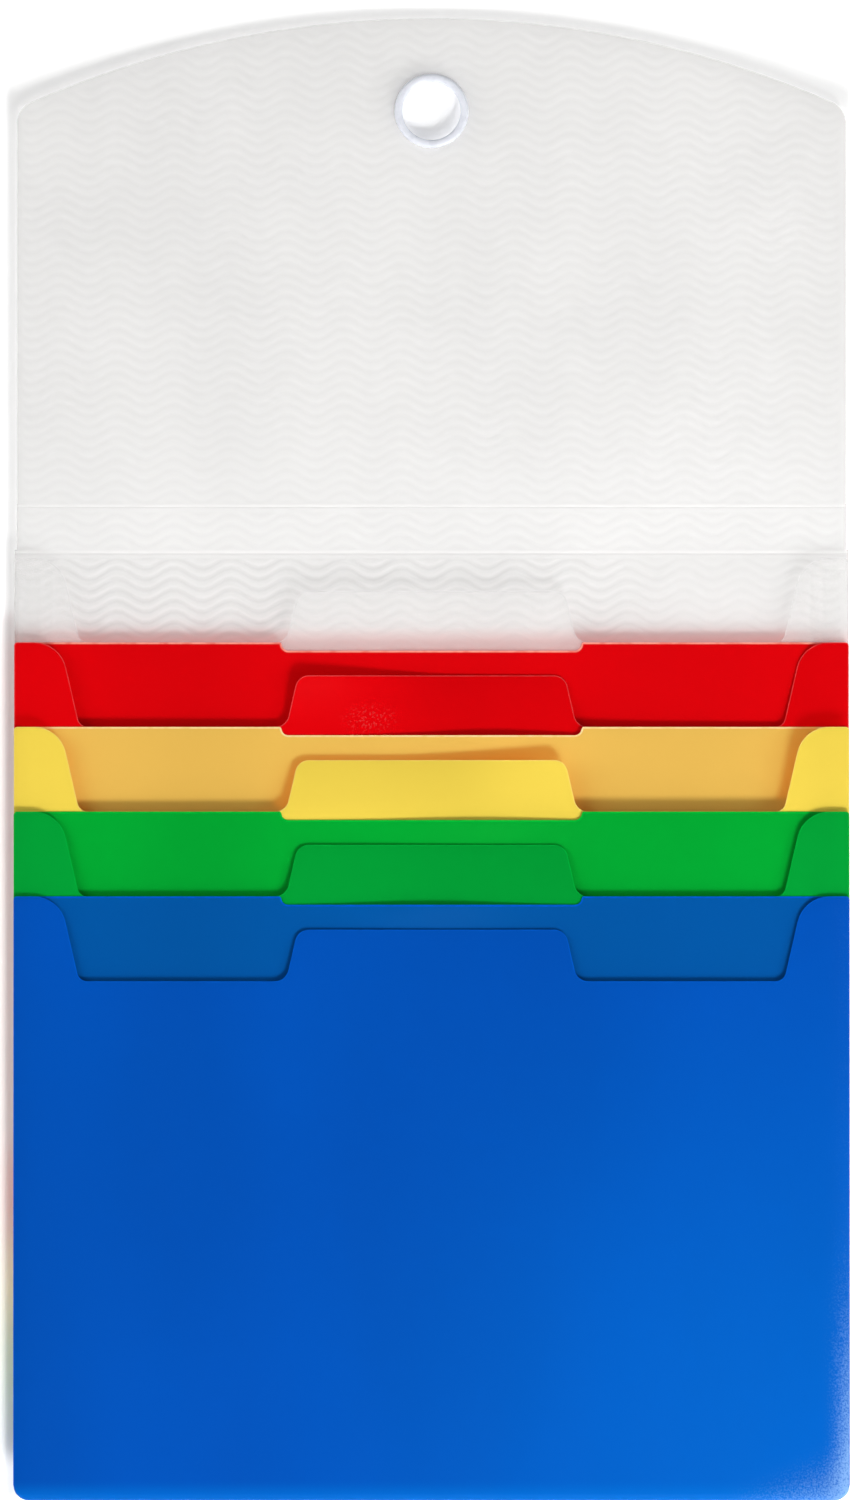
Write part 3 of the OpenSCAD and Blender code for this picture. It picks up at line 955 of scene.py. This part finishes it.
class FOLDER_OT_cover(bpy.types.Operator):
    """Makes the embossed cover: the arched flap, the spine and the back, with the two scores between them
    """

    bl_idname = "folder.cover"
    bl_label = "Cover"

    def execute(self, context):
        sizes, colours = context.scene.folder_cover, context.scene.folder_colours
        corner_r = context.scene.folder_pockets.corner_r
        spacing, reach = 2.9 * MM, 1.4 * MM
        flap_rim, seam_rim, flap_fine, seam_fine = 0.7 * MM, 0.05 * MM, 0.5 * MM, 4 * MM
        flap_emboss, spine_emboss = 0.4, 0.5
        flap_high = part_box("cover_flap")[1]
        back_low, back_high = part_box("cover_back")
        scores = [JOINTS[name]["pos_m"][2] for name in ("flap_score", "spine_score")]
        seams = [level + sizes.seam for level in scores]
        finish = frosted_sheet("frosted_cover", colours.clear, colours.painted_red_light, hidden=0.45, painted_red_light_part=0.65,
                               passing=0.6)

        def flap_foot(across):
            return np.full_like(across, seams[0])

        def spine_foot(across):
            return np.full_like(across, seams[1])

        def back_foot(across):
            return np.maximum(back_low.z, POCKETS[0].low + corner_rise(across, back_high.x, corner_r))

        edge = denser(arch_edge(flap_high.x, flap_high.z, sizes), spacing)
        x, z, rim = waved_grid(edge, flap_foot, flap_fine, flap_rim, sizes)
        top = np.interp(x, edge[:, 0], edge[:, 1])
        y, groove = embossed(x, z, rim, top, scores, sizes, flap_emboss)
        points, faces, used = with_hole(grid_points(x, y, z), grid_faces(*x.shape), sizes.hole_r)
        marks = {RIM: rim.ravel()[used], GROOVE: groove.ravel()[used]}
        flap = add_piece("cover_flap_sheet", points, faces, finish, marks, sizes.sheet)
        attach(flap, "hanger")
        stands_for(flap, "clear_sheet", "cover_flap")

        for node, half, foot, number, bodies in (
            ("cover_spine", flap_high.x, spine_foot, 0, ("hanger", "spine")),
            ("cover_back", back_high.x, back_foot, 1, ("spine", "back")),
        ):
            edge = denser(level_edge(half, seams[number]), spacing)
            x, z, rim = waved_grid(edge, foot, seam_fine, seam_rim, sizes)
            # The top edge is a seam, not a cut one, and the emboss runs up to it
            rim[0, 1:-1] = 0
            far_top = z + 1
            strength = back_emboss(x) if node == "cover_back" else spine_emboss
            y, groove = embossed(x, z, rim, far_top, scores, sizes, strength)
            sheet = add_sheet(f"{node}_sheet", x, y, z, rim, finish, sizes.sheet, groove)
            level = scores[number]
            level + reach
            level - reach
            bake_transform(sheet)
            stands_for(sheet, "clear_sheet", node)
        return {"FINISHED"}


class FOLDER_OT_eyelet(bpy.types.Operator):
    """Makes the two halves of the white eyelet"""

    bl_idname = "folder.eyelet"
    bl_label = "Eyelet"

    def execute(self, context):
        finish = moulded_white("moulded_eyelet", context.scene.folder_colours.eyelet)
        sheet = context.scene.folder_cover.sheet
        crown_h, barrel_w, lip_w, lip_h, play = 1.1 * MM, 1.2 * MM, 0.3 * MM, 0.5 * MM, 0.12 * MM
        low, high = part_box("grommet_front")
        outer, top, bottom = high.x, -low.y, -high.y
        bore = next(mount["dims"]["r_mm"] for mount in frame["record"]["mounts"]
                    if mount["name"] == "hanging_eyelet") * MM
        shoulder = top - crown_h
        crown = arc((0, 0), 1.0, math.pi, 0, 25) * ((outer - bore) / 2, crown_h)
        crown = crown + ((outer + bore) / 2, shoulder)
        barrel = bore + barrel_w
        lip = barrel + lip_w
        below = rounded([(outer, shoulder), (outer, sheet), (barrel, sheet), (barrel, bottom + lip_h),
                         (lip, bottom + lip_h), (lip, bottom), (bore, bottom), (bore, shoulder)], 0.12 * MM)
        points, faces = turned(np.concatenate((crown, below[1:-1])))
        front = add_piece("eyelet_front", points, faces, finish)

        low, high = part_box("grommet_back")
        inner = lip + play
        ring = rounded([(inner, 0), (high.x, 0), (high.x, -high.y), (inner, -high.y), (inner, 0)], 0.3 * MM)
        points, faces = turned(ring[1:-1])
        back = add_piece("eyelet_back_ring", points, faces, finish)
        for half, node in ((front, "grommet_front"), (back, "grommet_back")):
            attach(half, "hanger")
            stands_for(half, "eyelet", node)
        return {"FINISHED"}


class FOLDER_OT_fronts(bpy.types.Operator):
    """Makes the five front sheets, each rolled under into its pocket's bottom"""

    bl_idname = "folder.fronts"
    bl_label = "Front sheets"

    def execute(self, context):
        sizes, colours = context.scene.folder_pockets, context.scene.folder_colours
        # Painted highlights on the front sheets' cut edges
        edges = {"red": paler(colours.red, 0.05), "yellow": paler(colours.yellow, 0.08)}
        passed = {"red": colours.red_light, "yellow": colours.yellow_light}
        scuff_x, scuff_z = -27 * MM, -262.5 * MM
        for pocket in POCKETS:
            hue = pocket.hue
            if hue == "clear":
                finish = frosted_sheet("frosted_front", colours.front, colours.painted_red_light, hidden=0.2,
                                       painted_red_light_part=0.2, passing=0.5, edge_shade=0.8)
            else:
                # The blue front sheet takes painted light and sheen at its lower right corner
                corner_light = (pocket, colours.painted_lit_blue, colours.painted_sheen) if hue == "blue" else None
                scuff = (scuff_x, pocket.front, scuff_z) if hue == "red" else None
                base = getattr(colours, hue)
                edge = edges.get(hue, rgba(base, CUT_HIGHLIGHT)[:3])
                finish = coloured_sheet(f"{hue}_front", base, edge, corner_light=corner_light, scuff=scuff,
                                        passed=passed.get(hue))
            sheet = add_sheet(f"{hue}_front_sheet", *front_sheet(pocket, sizes), finish, sizes.sheet)
            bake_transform(sheet)
            stands_for(sheet, f"{hue}_sheet", f"{hue}_front_panel", f"{hue}_bottom_fold")
        return {"FINISHED"}


class FOLDER_OT_backs(bpy.types.Operator):
    """Makes the four coloured back sheets, each lying on the front sheet behind it"""

    bl_idname = "folder.backs"
    bl_label = "Back sheets"

    def execute(self, context):
        sizes, colours = context.scene.folder_pockets, context.scene.folder_colours
        bases = {"red": colours.red, "yellow": colours.yellow, "green": colours.green_back,
                 "blue": colours.blue}
        # The blue back sheet's colour above the green pocket is partly painted shade
        seen = {"yellow": colours.over_red, "blue": colours.over_green_shaded}
        # Painted highlights on the back sheets' cut edges
        edges = {"red": colours.red_edge_highlight, "yellow": colours.yellow_edge_highlight}
        passed = {"red": colours.rear_light}
        play = 0.03 * MM
        for behind, pocket in zip(POCKETS, POCKETS[1:]):
            hue = pocket.hue
            edge = edges.get(hue, rgba(bases[hue], CUT_HIGHLIGHT)[:3])
            finish = coloured_sheet(f"{hue}_back", bases[hue], edge, seen.get(hue), behind.low,
                                    passed=passed.get(hue))
            sheet = add_sheet(f"{hue}_back_sheet", *back_sheet(pocket, sizes), finish, sizes.sheet - play)
            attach(sheet, behind.ahead)
            stands_for(sheet, f"{hue}_sheet", f"{hue}_back_panel")
        return {"FINISHED"}


class FOLDER_OT_pleats(bpy.types.Operator):
    """Makes the ten pleated sides"""

    bl_idname = "folder.pleats"
    bl_label = "Pleated sides"

    def execute(self, context):
        sizes, colours = context.scene.folder_pockets, context.scene.folder_colours
        clear_hidden = 0.025
        for pocket in POCKETS:
            hue = pocket.hue
            base, hidden = getattr(colours, hue), 1.0
            if hue == "clear":
                base, hidden = colours.film, clear_hidden
            finish = pleated_film(f"{hue}_film", base, hidden)
            for side, word in ((-1, "left"), (1, "right")):
                x, y, z = pleat(pocket, side, sizes)
                if side > 0:
                    x, y, z = x[:, ::-1], y[:, ::-1], z[:, ::-1]
                film = add_sheet(f"{hue}_pleat_{word}", x, y, z, np.zeros_like(x), finish, sizes.film)
                film.modifiers["Wall"].offset = 0
                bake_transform(film)
                stands_for(film, f"{hue}_sheet", f"{hue}_gusset_{word}")
        return {"FINISHED"}


def add_stage_plane(name, corners, material):
    mesh = bpy.data.meshes.new(name)
    mesh.from_pydata(corners, [], [(0, 1, 2, 3)])
    mesh.materials.append(material)
    plane = bpy.data.objects.new(name, mesh)
    bpy.context.scene.collection.objects.link(plane)
    return plane


def add_lamp(name, place, target, power, size):
    """A square area lamp that faces the target and isn't seen itself."""
    data = bpy.data.lights.new(name, "AREA")
    data.energy, data.size = power, size
    lamp = bpy.data.objects.new(name, data)
    bpy.context.scene.collection.objects.link(lamp)
    lamp.location = place
    aim = np.array(target) - np.array(place)
    lamp.rotation_euler = Vector(aim.tolist()).to_track_quat("-Z", "Y").to_euler()
    lamp.visible_camera = False


class FOLDER_OT_stage(bpy.types.Operator):
    """Makes the wall, the floor, the lamps and the camera"""

    bl_idname = "folder.stage"
    bl_label = "Stage"

    def execute(self, context):
        scene = context.scene
        light, colours = scene.folder_light, scene.folder_colours
        scene.view_settings.view_transform = "Standard"
        scene.cycles.transparent_max_bounces = 32
        wall_y, floor_z, far = 4.8 * MM, -1.7, 30.0
        paint = painted_wall("wall_paint", colours.wall, light.lift, scene.folder_cover.arch_r)
        wall = add_stage_plane("wall", [(-far, wall_y, floor_z), (far, wall_y, floor_z), (far, wall_y, far),
                                        (-far, wall_y, far)], paint)
        wall.visible_shadow = False
        paint = plain_floor("floor_matt", colours.floor, light.floor_lift)
        square = ((-far, -far), (far, -far), (far, far), (-far, far))
        add_stage_plane("floor", [(x, y, floor_z) for x, y in square], paint)

        middle = (0, 0, (CAD_BOX[0].z + CAD_BOX[1].z) / 2)
        add_lamp("key_lamp", (0.75, -1.6, -1.6), middle, light.key, size=0.67)
        add_lamp("left_lamp", (-2.6, -1.9, 0.6), middle, light.left, size=2.0)
        add_lamp("right_lamp", (1.5, -0.95, -0.5), middle, light.right, size=0.6)
        add_lamp("rear_lamp", (0.8, 2.6, 1.2), middle, light.rear, size=2.5)

        scene.world = bpy.data.worlds.new("room")
        room = Finish(scene.world)
        strength = looked_at(room) * (1 - light.room) + light.room
        sky = room.node("ShaderNodeBackground", sockets={"Color": rgba(WHITE), "Strength": strength})
        room.end(sky, "World")

        data = bpy.data.cameras.new("camera")
        data.sensor_width = 36
        data.lens = data.sensor_width * (light.distance - SCALE_DEPTH) * PX_PER_M / IMAGE_PX[1]
        data.clip_end = 100
        camera = bpy.data.objects.new("camera", data)
        camera.location = ((IMAGE_PX[0] / 2 - EYELET_PX[0]) / PX_PER_M, -light.distance,
                           (EYELET_PX[1] - IMAGE_PX[1] / 2) / PX_PER_M)
        camera.rotation_euler = (math.pi / 2, 0, 0)
        scene.collection.objects.link(camera)
        scene.camera = camera
        return {"FINISHED"}


OPERATORS = (FOLDER_OT_cover, FOLDER_OT_eyelet, FOLDER_OT_fronts, FOLDER_OT_backs, FOLDER_OT_pleats,
             FOLDER_OT_stage)
GROUPS = {
    "folder_cover": CoverSizes,
    "folder_pockets": PocketSizes,
    "folder_colours": FolderColours,
    "folder_light": StageLight,
}


class FOLDER_PT_sidebar(bpy.types.Panel):
    """Lists the folder's operators"""

    bl_label = "Wall File Folder"
    bl_idname = "FOLDER_PT_sidebar"
    bl_space_type = "VIEW_3D"
    bl_region_type = "UI"
    bl_category = "Folder"

    def draw(self, context):
        for operator in OPERATORS:
            self.layout.operator(operator.bl_idname)


def register():
    for group in GROUPS.values():
        bpy.utils.register_class(group)
    for name, group in GROUPS.items():
        setattr(bpy.types.Scene, name, PointerProperty(type=group))
    for operator in OPERATORS:
        bpy.utils.register_class(operator)
    bpy.utils.register_class(FOLDER_PT_sidebar)


def unregister():
    bpy.utils.unregister_class(FOLDER_PT_sidebar)
    for operator in reversed(OPERATORS):
        bpy.utils.unregister_class(operator)
    for name in GROUPS:
        delattr(bpy.types.Scene, name)
    for group in reversed(GROUPS.values()):
        bpy.utils.unregister_class(group)


def main():
    register()
    bpy.ops.folder.cover()
    bpy.ops.folder.eyelet()
    bpy.ops.folder.fronts()
    bpy.ops.folder.backs()
    bpy.ops.folder.pleats()
    bpy.ops.folder.stage()


if __name__ == "__main__":
    main()
